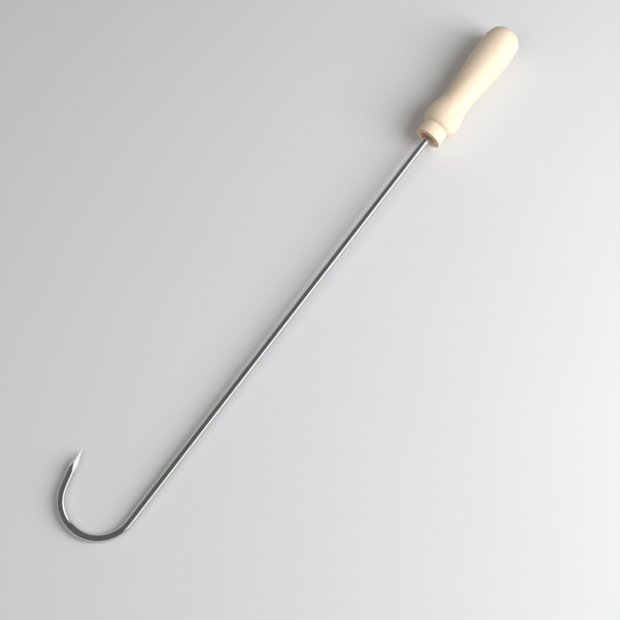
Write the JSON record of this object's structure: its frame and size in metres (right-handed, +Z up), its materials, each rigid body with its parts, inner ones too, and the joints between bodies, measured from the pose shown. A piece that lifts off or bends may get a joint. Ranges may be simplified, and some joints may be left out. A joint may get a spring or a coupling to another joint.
{
  "type": "meat hook",
  "caption": "Butcher's hand hook: a long round steel bar bent into an open hook with a ground point, in a turned wooden handle.",
  "frame": {"origin": "middle of the underside of the bounding box: the tool lies on the plane z = 0 as it is put down on a table", "axes": "+X from the hook towards the handle, +Y from the bar towards the hook's point, +Z up from the table; the bar rises towards the handle by about 1.5 degrees"},
  "size_m": [0.4998, 0.0746, 0.0297],
  "materials": {
    "bright_stainless": "bright drawn round bar, lightly polished, with ground facets at the point",
    "turned_beech": "pale close-grained wood, turned, sanded and thinly lacquered to a satin",
    "amber_resin": "cured casting resin, amber, slightly glossy"
  },
  "bodies": {
    "root": {"hook_bar": "bright_stainless", "handle": "turned_beech", "tang_resin": "amber_resin"}
  },
  "joints": []
}
